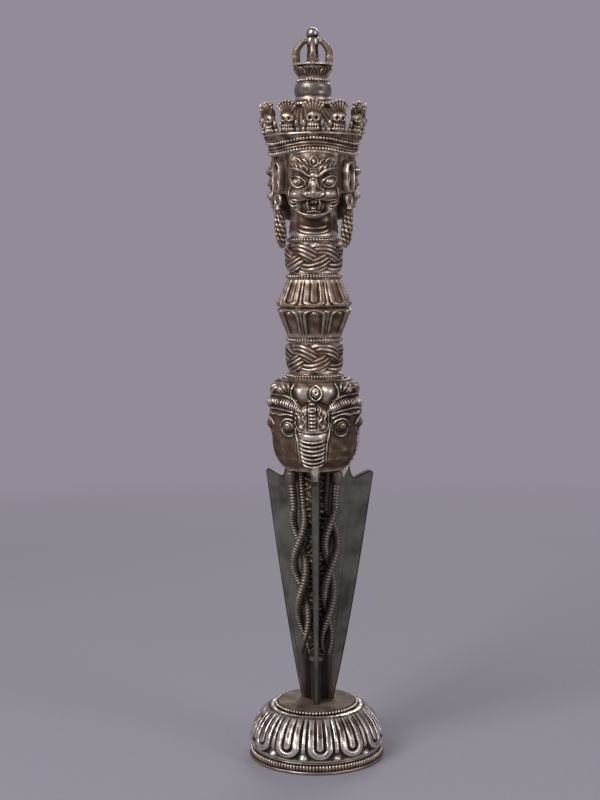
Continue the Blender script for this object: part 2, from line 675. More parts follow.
def makeNagaHead(name, angle):
    n = naga
    out = blade["coreR"] + n["headR"] - 0.1
    midZ = n["twistTop"] - n["pitch"]/2
    bm = bmesh.new()
    lump(bm, (0, -out, midZ - 1.2), (1.1, 0.85, 3.6), grid=(28, 36), radius=n["headR"])
    lump(bm, (0, -out - 0.4, midZ + 3.1), (0.95, 1, 1.25), grid=(28, 20), radius=n["headR"])
    for side in (-1, 1):    # brow ridges and the spread hood
        lump(bm, (side*0.55, -out - 1.35, midZ + 3.4), (0.34, 0.4, 1.3), side*12, (16, 12))
        lump(bm, (side*0.9, -out - 0.3, midZ - 0.4), (0.8, 0.75, 2.6), grid=(20, 16))
    for step in range(5):   # belly scales
        lump(bm, (0, -out - 1.15, midZ - 3.4 + 0.95*step), (0.9, 0.4, 0.4), grid=(16, 10))
    turnBy(bm, angle)
    finish(name, bm, "snakes", wobble=0.02)


# Black casting crust left round the core behind the snakes
crust = {"lowZ": 40, "highZ": 121.2, "lowR": 2.9, "highR": 5.2, "lumpMm": 1.2, "columns": 150, "rows": 330}


def makeCrust():
    c = crust

    def place(a, v):
        t = v/(c["rows"] - 1)
        z = mix(c["lowZ"], c["highZ"], t)
        r = mix(c["lowR"], c["highR"], ease(t, -0.1, 0.75))
        w = 1/c["lumpMm"]
        x = r*np.radians(a)
        coarse = np.sin(w*x*1.1 + 2.1*np.sin(w*z*0.9))*np.sin(w*z*1.7 + 1.7*np.sin(w*x*0.7))
        fine = np.sin(w*x*2.9 + 1.3*np.sin(w*z*2.3))*np.sin(w*z*3.1 + 2*np.sin(w*x*1.9))
        return r + (0.6*coarse + 0.3*fine)*ease(t, 0, 0.06), z, a

    bm = turned(c["columns"], c["rows"], place)
    finish("channelCrust", bm, "crust", [], wobble=0)


wingNames = ("front", "right", "left")
channels = {"right": (54.5, 54.5), "back": (170.5, 61.5), "left": (296.0, 64.0)}

makeStand()
print("stand ready")
for wingName, wingAngle in zip(wingNames, blade["angles"]):
    makeWing(wingName, wingAngle)
for channel, (angle, half) in channels.items():
    makeNaga("naga_" + channel + "_outer", angle, math.radians(half), True)
    makeNaga("naga_" + channel + "_inner", angle, math.radians(half), False)
    makeNagaHead("naga_head_" + channel, angle)
makeCrust()
# what the wings and the dome hide almost wholly keeps its CAD shape and gets a finish
for node, finishName in (("tang", "core"), ("stand_socket", "core"), ("stand_plate", "plate")):
    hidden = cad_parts[node].data.materials
    hidden.clear()
    hidden.append(finishes[finishName])
print("blade ready")


# Makara head: three faces of a beast, each with its ribbed trunk over a wing.
# Its carving is laid out flat: x in millimetres round a drum of radius flatR, z in height.
makara = {
    "r": 18.4, "h": 37.4, "flatR": 19.0, "columns": 528, "rows": 132, "trunkX": -1.1,
    "profile": [(0, 0.68), (0.03, 0.735), (0.08, 0.8), (0.15, 0.865), (0.24, 0.905), (0.43, 0.945),
                (0.55, 0.96), (0.66, 0.975), (0.78, 0.955), (0.85, 0.93), (0.92, 0.925), (0.97, 0.87),
                (1, 0.77)],
    "ribs": 7, "ribTop": 134.3, "ribPitch": 1.72, "bars": 8, "barTop": 149.9, "barPitch": 1.48,
    "nicks": 11, "capRows": 6, "capR": 11.6,
}

makaraPairs = {
    "domes": [(6.2, 154.5, 4.9, 5.6, 1.9), (11.8, 140.9, 4.6, 4.3, 1.9), (16.4, 156.2, 5.2, 4.0, 1.7),
              (12.5, 131.5, 9.5, 11, 0.7), (11.7, 140.6, 2.5, 2.3, 0.35)],
    "rings": [(11.7, 140.6, 3.6, 3.1, 0.4, 0.3), (11.7, 140.6, 2.1, 1.8, 0.32, 0.24),
              (11.7, 140.6, 1.0, 0.9, 0.28, 0.24)],
    "lines": [
        ([(9.9, 157.9), (11.0, 154.8), (10.4, 152.3), (7.6, 150.9)], 0.9, 0.8),
        ([(6.4, 145.6), (10.3, 146.5), (14.5, 147.1), (20.6, 147.4)], 0.6, 1.0),
        ([(6.9, 149.3), (9.6, 151.5), (13.0, 152.6), (16.5, 152.9), (20.4, 152.8)], 0.55, 0.9),
        ([(7.8, 143.8), (10.0, 145.0), (13.4, 145.4), (17.2, 144.9), (20.4, 145.4)], 0.8, 1.0),
        ([(7.8, 141.4), (9.2, 143.0), (11.8, 143.7), (14.8, 142.6), (17.2, 140.4)], 0.85, 1.1),
        ([(8.0, 139.2), (9.6, 137.3), (12.2, 136.5), (14.9, 137.4), (16.6, 139.4)], 0.6, 0.5),
        ([(13.2, 154.2), (14.4, 156.4), (16.8, 158.0)], 0.5, 0.6),
        ([(14.6, 153.7), (15.9, 155.5), (18.2, 157.2)], 0.5, 0.6),
        ([(16.2, 153.5), (17.5, 154.8), (19.8, 156.0)], 0.5, 0.6),
        ([(12.1, 153.9), (12.3, 156.4), (14.0, 158.7)], 0.55, 0.9),
    ],
    "cuts": [
        ([(7.4, 144.8), (11.2, 146.0), (15.4, 146.3), (20.4, 146.4)], 0.45, 0.8),
        ([(7.4, 142.6), (8.4, 139.8), (8.6, 137.6)], 0.6, 0.5),
        ([(9.2, 142.4), (11.8, 143.1), (14.6, 141.9)], 0.4, 0.5),
        ([(2.4, 150.6), (4.2, 149.6), (6.0, 149.0)], 0.5, 0.6),
        ([(11.9, 158.4), (11.7, 155.8), (11.6, 153.9)], 0.45, 0.5),
    ],
}
makaraBrow = [(6.4, 147.4), (9.6, 149.0), (13.4, 149.9), (20.8, 150.3)]

makaraMiddle = {
    "domes": [(0.5, 154.2, 3.6, 4.4, 1.1)],
    "rings": [(0.5, 154.4, 0.8, 0.9, 0.45, 0.8)],
    "lines": [
        ([(0.5, 157.4), (-1.3, 156.2), (-2.1, 154.0), (-1.3, 152.2), (0.5, 151.2), (2.3, 152.2), (2.9, 154.0),
          (2.2, 156.2), (0.5, 157.4)], 0.5, 0.9),
        ([(0.5, 152.5), (-0.9, 153.6), (-0.7, 155.3), (0.5, 156.0), (1.7, 155.2)], 0.42, 0.7),
    ],
}


# muzzle, trunk and the barred ridge between them, all about the trunk's own middle line
def trunkForms():
    m = makara
    lines, domes = [], []
    for rib in range(m["ribs"]):
        z = m["ribTop"] - m["ribPitch"]*rib
        w = mix(5.7, 4.9, rib/m["ribs"])
        lines.append(([(-w, z + 1.1), (-w/2, z + 0.2), (0, z - 0.15), (w/2, z + 0.2), (w, z + 1.1)], 0.64, 1.5))
    for bar in range(m["bars"]):
        z = m["barTop"] - m["barPitch"]*bar
        domes.append((0, z, 1.75, 0.85, 1.15))
    for side in (-1, 1):
        lines.append(([(side*7.5, 139.9), (side*7.2, 137.2), (side*6.5, 134.0), (side*6.2, 129.8),
                       (side*6.5, 125.2)], 0.65, 1.2))
        lines.append(([(side*2.3, 149.8), (side*3.6, 147.8), (side*2.7, 145.9), (side*3.8, 144.3),
                       (side*2.8, 142.6), (side*4.0, 141.0)], 0.42, 0.6))
        lines.append(([(side*4.7, 147.6), (side*5.6, 145.6), (side*4.9, 143.8), (side*5.8, 142.0)], 0.4, 0.45))
        lines.append(([(side*6.4, 147.2), (side*7.1, 144.0), (side*6.9, 140.6), (side*5.4, 138.7),
                       (side*2.0, 138.3)], 0.5, 0.6))
        domes.append((side*4.6, 140.5, 1.5, 1.4, 0.8))
    cuts = [([(side*1.9, 150.6), (side*1.9, 145), (side*1.9, 138.8)], 0.42, 0.8) for side in (-1, 1)]
    cuts += [([(side*7.9, 147.6), (side*8.0, 143.6), (side*7.7, 140.6)], 0.6, 1.0) for side in (-1, 1)]
    cuts += [([(side*7.4, 136.0), (side*7.1, 132.0), (side*7.2, 126.6)], 0.6, 0.6) for side in (-1, 1)]
    cuts += [([(-5.8, 138.3), (0, 137.7), (5.8, 138.3)], 0.6, 1.1)]
    return {
        "domes": domes + [(0, 136.4, 6.4, 2.4, 0.7)],
        "plates": [(0, 143.6, 7.6, 6.6, 0.4, 1.9), (0, 149.2, 2.6, 3.2, 0.5, 0.5),
                   (0, 130.6, 6.6, 9.8, 0.35, 1.2)],
        "lines": lines, "cuts": cuts,
    }


# short slanted nicks that make the brow a rope of hair
def browNicks():
    spine = route(makaraBrow, 8)
    nicks = []
    for k in range(makara["nicks"]):
        x, z = spine[int((k + 0.5)/makara["nicks"]*(len(spine) - 1))]
        nicks.append(([(x + 0.75, z - 1.9), (x + 0.1, z - 0.4), (x - 0.3, z + 1.7)], 0.55, 0.6))
    return {"lines": nicks, "rings": [(17.6, 150.3, 1.1, 1.0, 0.4, 0.9)]}


def makeMakara():
    m = makara
    low = lowOf("makara_head")
    shares, radii = np.array(m["profile"]).T
    trunk, brow = trunkForms(), browNicks()

    def place(a, v):
        t = v/(m["rows"] - 1)
        z = low + t*m["h"]
        x = m["flatR"]*np.radians(fold(a, 120))
        top = m["r"]*np.interp(t, shares, radii)
        relief = carve(np.abs(x), z, **makaraPairs) + carve(x, z, **makaraMiddle)
        relief += carve(x - m["trunkX"], z, **trunk) + carve(np.abs(x), z, **brow)
        relief += carve(np.abs(x), z, lines=[(makaraBrow, 2.9, 1.7)])
        r = top + relief*ease(t, 0, 0.04)*(1 - ease(t, 0.97, 1))
        # the last rows run in over the top as shallow gadroons
        inward = (v - m["rows"] + 1)/m["capRows"]
        r = np.where(inward > 0, mix(m["r"]*radii[-1], m["capR"], inward), r)
        gadroon = 0.3*np.sin(np.pi*np.clip(inward, 0, 1))*np.abs(np.cos(np.radians(18*a)))
        return r, np.minimum(z, low + m["h"]) - gadroon, a

    bm = turned(m["columns"], m["rows"] + m["capRows"], place)
    # the jaws' roots taper down onto the back of each wing
    for angle in blade["angles"]:
        spot = (Matrix.Rotation(math.radians(angle), 4, "Z") @ Matrix.Translation((0, -12.4, low - 0.6))
                @ Matrix.Rotation(math.radians(14), 4, "X") @ Matrix.Diagonal((0.6, 0.9, 2.1, 1)))
        bmesh.ops.create_uvsphere(bm, u_segments=32, v_segments=24, radius=3.2, matrix=spot)

    # hands have rubbed the trunks bright, and hardly touched the eyes, the cheeks and the top
    def rub(co):
        x = m["flatR"]*np.radians(fold(angleOf(co), 120))
        z = co[:, 2]
        trunkRub = (1 - ease(np.abs(x - m["trunkX"]), 6, 8))*(1 - ease(z, 137.5, 139.5))*ease(z, 123.5, 127)
        eyeShade = swell(np.hypot(np.abs(x) - 11.7, z - 140.4), 5.5)
        foreheadRub = (1 - ease(np.abs(x), 5, 7.5))*ease(z, 150, 152.5)*(1 - ease(z, 156, 157.5))
        shade = 0.16*(1 - ease(z, 122.5, 126)) + 0.3*ease(z, 156.4, 158.4) + 0.08*ease(np.abs(x), 7.5, 9)
        return 0.42*trunkRub + 0.16*foreheadRub - 0.22*eyeShade - shade

    finish("makaraHead", bm, "makara", ["makara_head"], rub=rub)


# Handle: beaded rings, plaited knots and the double lotus
handle = {
    "ringR": 11.6, "ringH": 2.4, "beadR": 0.62, "beadPitch": 1.28, "knotR": 12.4, "knotDepth": 2.2,
    "knotTurn": 27, "knotRows": 56, "lotusR": 16.0, "lotusEndR": 11.2, "lotusPetals": 8, "lotusRelief": 1.1,
    "lotusRows": 60, "columns": 432,
}


def makeRing(node, r, h, look="rings"):
    low = lowOf(node)
    beadR = handle["beadR"]
    roll = r - beadR - 0.35
    steps = [(-0.9, 0), (-0.2, 0.06), (0, 0.14), (-0.15, 0.22), (-0.5, 0.3), (-0.5, 0.7), (-0.15, 0.78),
             (0, 0.86), (-0.2, 0.94), (-0.9, 1)]
    bm = lathe([(0, low)] + [(roll + out, low + up*h) for out, up in steps] + [(0, low + h)], 160)
    count = round(2*math.pi*r/handle["beadPitch"])
    beadRow(bm, count, r - beadR, low + h/2, beadR, 0.33*h/beadR)
    finish(node, bm, look)


def makeKnot(node):
    h = handle
    low, high = lowOf(node), topOf(node)
    tall = high - low
    rows = h["knotRows"]
    rise, halfW = 0.27*tall, 0.25*tall

    def place(a, v):
        t = v/(rows - 1)
        y = tall*(t - 0.5)
        best = np.full(a.shape, -0.35)
        for strand in range(3):
            phase = np.radians(2*(a + h["knotTurn"]) + 120*strand)
            slope = 2*rise*np.cos(phase)/h["knotR"]
            d = (y - rise*np.sin(phase))/halfW/np.sqrt(1 + slope**2)
            body = np.sqrt(np.clip(1 - d*d, 0, 1))*1.1
            lift = -0.7*np.sin(2*phase)
            cord = 0.58*(np.abs(np.sin(np.pi*1.75*(d + 0.143)))**0.7 - 0.7)*ease(1 - np.abs(d), 0, 0.1)
            best = np.maximum(best, np.where(np.abs(d) < 1, body + lift + cord, -0.35))
        edge = ease(np.minimum(t, 1 - t), 0, 0.05)
        r = h["knotR"] - h["knotDepth"] + np.clip(best, -0.4, 2.1)*edge
        return r, low + t*tall, a

    finish(node, turned(h["columns"], rows, place), "knots")


def makeLotus(node, up):
    h = handle
    low, high = lowOf(node), topOf(node)
    rows = h["lotusRows"]

    # t is 0 at the waist and 1 at the narrow end
    def place(a, v):
        k = v/(rows - 1)
        t = k if up else 1 - k
        side = sideOf(a, h["lotusPetals"])
        f = np.where(t < 0.3, np.hypot(side, (0.3 - t)/0.34), side)
        if up:      # broad rounded rims round a narrow tongue
            rim = ease(f, 0.34, 0.48)*(1 - ease(f, 0.72, 0.9))
            inner = 0.5*(1 - ease(f, 0.16, 0.34))
        else:       # narrow rims round a broad sunk panel with a boss at its tip
            rim = ease(f, 0.54, 0.68)*(1 - ease(f, 0.78, 0.92))
            inner = 0.4*(1 - ease(f, 0.1, 0.5)) + 0.5*swell(np.hypot(side/0.26, (t - 0.17)/0.09), 1)
        between = 0.75*ease(side, 0.86, 0.96)*ease(t, 0.06, 0.2)
        tips = 0.9*swell(np.hypot((side - 1)/0.34, (t - 0.11)/0.13), 1)
        top = np.maximum.reduce([rim, inner, between, tips])
        edge = np.clip(1 - t/0.17, 0, 1)
        lip = 2.3*(1 - np.sqrt(1 - edge**2)) - 0.3*swell(t - 0.18, 0.12)
        bed = (h["lotusRelief"] if up else 0.85*h["lotusRelief"])*(1 - top)*ease(1.08 - t, 0, 0.35)
        base = mix(h["lotusR"] - 0.35, h["lotusEndR"], np.maximum(0, (t - 0.08)/0.92)**1.04)
        return base - lip - bed, low + k*(high - low), a

    finish(node, turned(h["columns"], rows, place), "lotus")


makeMakara()
print("makara head ready")
for ring, wider in (("ring_makara", 0.4), ("ring_lower", 0), ("ring_upper", 0), ("ring_neck", -0.5)):
    makeRing(ring, handle["ringR"] + wider, handle["ringH"])
makeKnot("knot_lower")
makeKnot("knot_upper")
makeLotus("lotus_lower", False)
makeLotus("lotus_upper", True)
print("handle ready")


# Head: three wrathful faces on one neck. The faces are laid out flat at radius flatR.
head = {
    "neckR": 9.7, "neckH": 7.0, "faceR": 17.6, "sideR": 16.5, "templeR": 14.9, "edgeAngle": 34,
    "edgeWide": 14, "faceH": 25.5, "skullR": 14.0, "earLift": 3.0, "earMid": 240.2, "earWide": 10.6,
    "earTall": 6.7, "flatR": 17.5, "chinLift": 10, "archRise": 1.8, "columns": 600, "neckRows": 22,
    "chinRows": 5, "faceRows": 104, "topRows": 6,
}
chinZ = lowOf("head") + head["neckH"]
crownZ = chinZ + head["faceH"]

facePairs = {
    "domes": [(6.9, 238.1, 3.5, 2.9, 1.7), (7.3, 233.2, 4.4, 2.9, 2.5), (2.9, 233.4, 2.0, 1.7, 1.8),
              (5.6, 243.2, 6.2, 3.4, 1.6), (8.6, 246.6, 4.2, 2.4, 0.4), (6.9, 238.1, 1.7, 1.6, 0.3)],
    "rings": [(6.9, 238.1, 1.6, 1.45, 0.3, 0.28), (6.9, 238.1, 0.7, 0.65, 0.3, 0.28)],
    "lines": [
        ([(3.0, 237.5), (4.5, 239.2), (6.5, 240.2), (8.6, 240.3), (10.4, 239.6)], 0.6, 1.1),
        ([(3.2, 237.4), (4.6, 236.2), (6.6, 235.8), (8.6, 236.9), (10.2, 239.2)], 0.5, 0.7),
        ([(1.2, 239.9), (2.7, 240.8), (4.6, 242.3), (7.2, 243.2), (10.2, 243.4)], 1.0, 1.3),
        ([(2.3, 241.8), (2.6, 243.3), (4.0, 244.6)], 0.65, 0.7),
        ([(4.2, 242.8), (4.7, 244.2), (6.1, 245.2)], 0.65, 0.7),
        ([(6.2, 243.7), (6.9, 244.8), (8.2, 245.6)], 0.65, 0.65),
        ([(8.2, 244.1), (9.0, 245.0), (10.2, 245.6)], 0.55, 0.5),
        ([(2.2, 244.6), (3.0, 246.0), (4.4, 246.9)], 0.6, 0.5),
        ([(4.8, 245.6), (5.8, 246.8), (7.2, 247.3)], 0.6, 0.5),
        ([(1.1, 232.7), (2.3, 232.2), (3.7, 233.1), (3.9, 234.6), (2.9, 235.6)], 0.55, 1.0),
        ([(0.9, 239.2), (1.7, 237.0), (2.2, 235.3)], 0.55, 0.5),
        ([(10.4, 231.6), (8.4, 231.0), (6.2, 230.6), (3.2, 231.1), (0, 230.9)], 0.55, 1.3),
        ([(10.3, 231.0), (8.9, 230.0), (7.6, 229.9)], 0.45, 1.1),
        ([(10.5, 229.5), (9.0, 228.6), (7.6, 228.6)], 0.45, 1.1),
        ([(10.1, 227.8), (8.8, 227.1), (7.3, 227.4)], 0.45, 1.1),
        ([(9.2, 226.1), (8.0, 225.8), (6.7, 226.5)], 0.45, 1.1),
        ([(2.35, 231.0), (2.7, 229.2), (2.2, 227.2)], 0.75, 2.4),
        ([(6.9, 226.3), (4.8, 225.4), (2.4, 224.9), (0, 224.8)], 0.65, 1.6),
        ([(10.6, 229.0), (9.7, 226.6), (7.6, 225.0), (4.8, 223.9), (2.2, 223.4), (0, 223.3)], 0.6, 1.0),
        ([(10.3, 247.2), (8.4, 249.0), (4.0, 249.7), (0, 249.8)], 0.45, 0.5),
        ([(10.6, 236.0), (11.0, 234.0), (10.6, 232.0)], 0.6, 0.7),
    ],
    "cuts": [
        ([(3.6, 231.1), (6.4, 230.5), (8.2, 230.9)], 0.45, 0.6),
        ([(4.2, 237.0), (3.4, 235.4), (4.2, 233.2)], 0.6, 0.6),
        ([(3.4, 239.9), (5.0, 241.3), (7.0, 241.9), (9.4, 241.5)], 0.5, 0.5),
        ([(9.6, 235.2), (10.0, 233.4), (10.0, 232.6)], 0.5, 0.5),
        ([(3.4, 237.7), (3.9, 237.8)], 0.6, 0.5),
    ],
    "plates": [(0, 228.5, 7.9, 3.5, 0.35, -2.2)],
}

faceMiddle = {
    "domes": [(0, 233.5, 3.0, 2.4, 2.8), (0, 236.8, 2.5, 4.4, 1.9), (0, 240.6, 2.8, 1.8, 1.4),
              (0.2, 245.7, 1.1, 1.7, 0.9), (0, 247, 8, 4, 0.4)],
    "lines": [
        ([(0.2, 248.3), (-1.1, 246.8), (-1.3, 245.0), (0.2, 243.9), (1.7, 245.0), (1.5, 246.8), (0.2, 248.3)],
         0.42, 0.9),
        ([(-1.9, 238.6), (0, 239.2), (1.9, 238.6)], 0.4, 0.5),
        ([(-1.4, 241.8), (0, 242.4), (1.4, 241.8)], 0.4, 0.7),
        ([(-1.2, 242.9), (0, 243.3), (1.2, 242.9)], 0.35, 0.5),
        ([(-2.4, 226.1), (0, 226.6), (2.4, 226.1)], 0.5, 1.0),
    ],
}
# short teeth between the fangs, upper row and lower row
faceMiddle["domes"] += [(x, 230.1, 0.62, 1.1, 1.7) for x in (-1.2, -0.4, 0.4, 1.2)]
faceMiddle["domes"] += [(x, 226.4, 0.6, 0.9, 1.3) for x in (-2.8, -1.7, -0.55, 0.55, 1.7, 2.8)]
faceMiddle["domes"] += [(0, 227.6, 2.0, 0.9, 0.8)]

neckLines = [([(-6.4, 221.2), (-3.4, 220.2), (0, 219.9), (3.4, 220.2), (6.4, 221.2)], 0.6, 0.45),
             ([(-7.4, 219.6), (-4.0, 218.3), (0, 217.9), (4.0, 218.3), (7.4, 219.6)], 0.75, 0.6)]


def chinAt(g):
    return chinZ + head["chinLift"]*(np.minimum(g, 50)/50)**2.2


def archAt(g):
    return crownZ + head["archRise"]*(1 + np.cos(np.radians(3*g)))/2


def faceRadius(g, z):
    h = head
    t = (z - chinZ)/h["faceH"]
    front = mix(h["faceR"], h["sideR"], ease(g, 8, h["edgeAngle"]))*mix(0.93, 1, ease(t, 0, 0.35))
    skin = mix(front, h["templeR"], ease(g, h["edgeAngle"], h["edgeAngle"] + h["edgeWide"]))
    # the ear: a long loop of a rim round a bowl with a fold in it
    d, up = np.abs(g - 60), z - h["earMid"]
    e = (np.abs(d/h["earWide"])**3 + np.abs(up/h["earTall"])**3)**(1/3)
    rim = swell(e - 0.84, 0.2)
    bowl = 0.35*(1 - ease(e, 0.6, 0.8))
    inner = 0.5*swell(np.hypot(d/4.6, (up - 0.6)/4.2) - 0.75, 0.22)
    return skin + h["earLift"]*np.maximum.reduce([rim, bowl, inner])


def makeHead():
    h = head
    low, skullTop = lowOf("head"), topOf("head")
    nNeck, nChin, nFace = h["neckRows"], h["chinRows"], h["faceRows"]
    rows = nNeck + nChin + nFace + h["topRows"]

    def place(a, v):
        # the columns crowd towards the ears, where the carving is steepest
        near = fold(a, 120)
        a = a + 4.0*np.sin(np.radians(3*near))
        near = fold(a, 120)
        g = np.abs(near)
        chin, arch = chinAt(g), archAt(g)
        z = np.zeros(a.shape)
        r = np.zeros(a.shape)
        neck, under, face = v < nNeck, (v >= nNeck) & (v < nNeck + nChin), v >= nNeck + nChin
        face &= v < nNeck + nChin + nFace
        z[neck] = mix(low, chin[neck] + 0.3, v[neck]/nNeck)
        neckX = h["neckR"]*np.radians(near)
        r[neck] = h["neckR"] + carve(neckX[neck], z[neck], lines=neckLines)
        s = (v[face] - nNeck - nChin)/(nFace - 1)
        z[face] = mix(chin[face] + 0.9, arch[face] - 0.1, s)
        x = h["flatR"]*np.radians(near)
        skin = faceRadius(g, z)
        keep = (1 - ease(g, h["edgeAngle"] + 6, h["edgeAngle"] + 12))
        chased = carve(np.abs(x[face]), z[face], **facePairs) + carve(x[face], z[face], **faceMiddle)
        r[face] = skin[face] + chased*keep[face]*ease(s, 0, 0.03)
        turn = np.pi/2*(v[under] - nNeck + 1)/(nChin + 1)
        lip = faceRadius(g[under], chin[under] + 0.9)
        r[under] = mix(h["neckR"], lip, np.sin(turn))
        z[under] = chin[under] + 0.9*(1 - np.cos(turn))
        last = v >= nNeck + nChin + nFace
        k = v[last] - nNeck - nChin - nFace
        r[last] = np.where(k == 0, 15.2, np.where(k < 3, h["skullR"], h["skullR"] - 0.5*(k - 2)))
        z[last] = np.where(k < 2, arch[last], np.where(k < 4, skullTop - 0.4, skullTop))
        return r, z, a

    # the neck, the eyes and the recess before the ears stay brown
    def rub(co):
        x = h["flatR"]*np.radians(np.abs(fold(angleOf(co), 120)))
        z = co[:, 2]
        eyes = swell(np.hypot(x - 6.9, (z - 238.1)*1.1), 3.4)
        mouth = 1 - ease(np.hypot(x/8, (z - 228.2)/3.6), 0.7, 1.1)
        shade = 0.4*(1 - ease(z, 221.5, 223.5)) + 0.34*ease(z, 250.5, 252) + 0.12*eyes
        return 0.08 + 0.1*mouth - shade - 0.26*swell(x - 12.3, 2.8)

    finish("head", turned(h["columns"], rows, place), "faces", rub=rub)


# Earring: a loop under the ear, a bead and a tassel of twisted strands
earring = {
    "loopR": 2.1, "wire": 0.62, "tasselR": 2.3, "tasselH": 17, "lean": 6, "strands": 7, "twist": 150,
    "columns": 84, "rows": 70,
    "profile": [(0, 0.02), (0.03, 0.42), (0.2, 0.85), (0.45, 1), (0.72, 0.88), (0.86, 0.55), (0.9, 0.5),
                (0.93, 0.62), (0.97, 0.55), (1, 0.2)],
}


def makeEarring(name, angle):
    e = earring
    loopZ = topOf(name) - e["loopR"] - e["wire"]
    out = head["templeR"] + 1.5
    shares, sizes = np.array(e["profile"]).T

    def place(a, v):
        t = v/(e["rows"] - 1)
        strand = np.abs(np.cos(np.radians((a + e["twist"]*t)*e["strands"]/2)))
        lumps = 0.08*np.sin(2*np.pi*t*9 + np.radians(a)*2)
        r = e["tasselR"]*np.interp(t, shares, sizes)
        r = r*(1 + (0.24*(strand - 0.75) + lumps)*(t < 0.86))
        return r, t*e["tasselH"], a

    bm = turned(e["columns"], e["rows"], place)
    bmesh.ops.translate(bm, verts=bm.verts, vec=(0, 0, -e["tasselH"]))
    turnBy(bm, e["lean"], "X")
    bmesh.ops.translate(bm, verts=bm.verts, vec=(0, 0, -e["loopR"] - 0.3))
    ring = lathe([(e["loopR"] + e["wire"]*math.cos(b), e["wire"]*math.sin(b))
                  for b in np.radians(range(0, 360, 36))], 40, True)
    turnBy(ring, 90, "X")
    bm.from_mesh(meshOf("loop", ring))
    beads(bm, [(0, 0, -e["loopR"] - 0.5)], 1.15, 0.6)
    bmesh.ops.translate(bm, verts=bm.verts, vec=(0, -out, loopZ))
    turnBy(bm, angle)
    finish(name, bm, "handle", wobble=0.02)


# Crown band: its mouldings and bead rows follow the arch over each face
crown = {
    "beads": 88, "beadR": 0.64, "leaves": 12, "leafW": 8.6, "lean": 11, "seatR": 17.7,
    "columns": 432, "rows": 64, "innerRows": 4, "fieldR": (19.15, 19.75), "fieldFrom": 5.5,
    "section": [(-0.3, 17.4), (0.0, 17.5), (0.7, 17.5), (0.95, 17.7), (1.25, 18.2), (1.6, 18.35), (1.95, 18.1),
                (2.15, 18.15), (2.4, 18.5), (2.8, 18.6), (3.15, 18.3), (3.4, 17.95), (3.7, 18.05), (3.9, 18.2),
                (4.7, 18.3), (4.95, 18.45), (5.2, 19.0), (5.5, 19.15)],
}
bandTop = topOf("crown_band")


def makeCrownBand():
    c = crown
    heights, radii = np.array(c["section"]).T
    outerRows = c["rows"] - c["innerRows"]

    # the first rows climb the outside, the last few come down inside
    def place(a, v):
        arch = archAt(np.abs(fold(a, 120)))
        z = mix(arch - 0.3, bandTop, np.clip(v/(outerRows - 1), 0, 1))
        high = z - arch
        field = mix(*c["fieldR"], np.clip((high - c["fieldFrom"])/(bandTop - arch - c["fieldFrom"]), 0, 1))
        r = np.where(high > c["fieldFrom"], field, np.interp(high, heights, radii))
        edge = bandTop - z
        r = r + 0.25*swell(edge - 0.5, 0.5)
        # scalloped cloud shapes on the field under the leaves
        scallop = sideOf(a + 15, c["leaves"])
        r = r + 0.35*swell(np.hypot((scallop - 0.95)/0.5, (edge - 1.1)/1.3), 1)
        inside = v >= outerRows
        r = np.where(inside, head["skullR"] + gap, r)
        z = np.where(inside, mix(bandTop, arch - 0.3, (v - outerRows)/(c["innerRows"] - 1)), z)
        return r, z, a

    bm = turned(c["columns"], c["rows"], place, True)
    a = 360*np.arange(c["beads"])/c["beads"]
    arch = archAt(np.abs(fold(a, 120)))
    for r, turn, rise in ((18.0, 0, 0.32), (18.55, 1, 4.35)):
        beads(bm, polar(np.full(len(a), r), a + turn, arch + rise), c["beadR"])
    finish("crownBand", bm, "handle", ["crown_band"])


